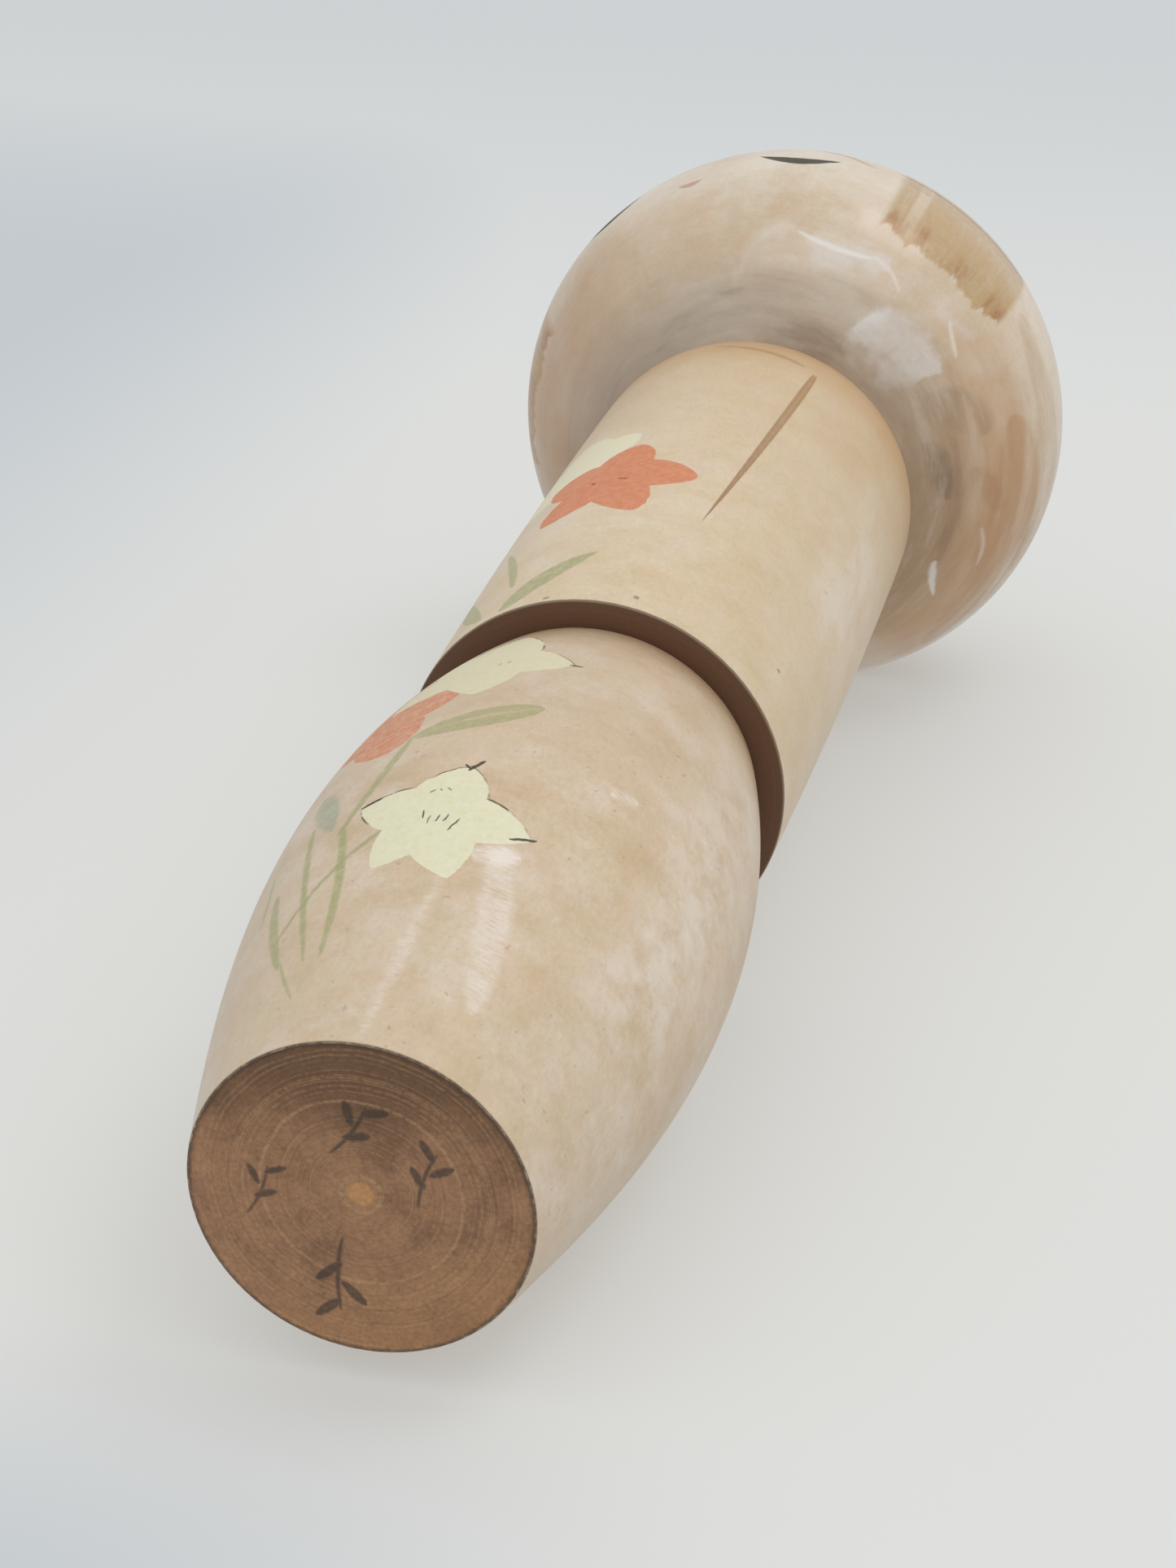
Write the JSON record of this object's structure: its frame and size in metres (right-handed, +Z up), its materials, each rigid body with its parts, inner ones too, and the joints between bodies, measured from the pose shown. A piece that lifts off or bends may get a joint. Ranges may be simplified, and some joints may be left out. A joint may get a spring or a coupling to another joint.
{
  "type": "kokeshi doll",
  "caption": "Turned wooden kokeshi doll: barrel lower body, straight overhanging upper body and a broad ball head that turns on its neck peg, painted with lilies.",
  "frame": {"origin": "centre of the flat base face", "axes": "+Z up along the turning axis to the crown, the painted face looks towards -Y, +X towards the doll's left hand side"},
  "size_m": [0.098, 0.098, 0.3052],
  "materials": {
    "lower_body_wood": "satin clear coat over pale, mottled turned wood, with painted flowers and a brown stained foot face",
    "upper_body_wood": "satin clear coat over pale cream turned wood, with painted flowers and a dark brown stained underside",
    "head_wood": "gloss clear coat over pale turned wood, with painted hair and face",
    "peg_wood": "bare turned wood"
  },
  "bodies": {
    "body": {"lower_body": "lower_body_wood", "upper_body": "upper_body_wood", "waist_dowel": "peg_wood"},
    "head": {"head": "head_wood", "neck_peg": "peg_wood"}
  },
  "joints": [
    {"name": "head_turn", "type": "hinge", "parent": "body", "child": "head", "pos_m": [0, 0, 0.2343], "axis": [0, 0, 1], "continuous": true}
  ]
}
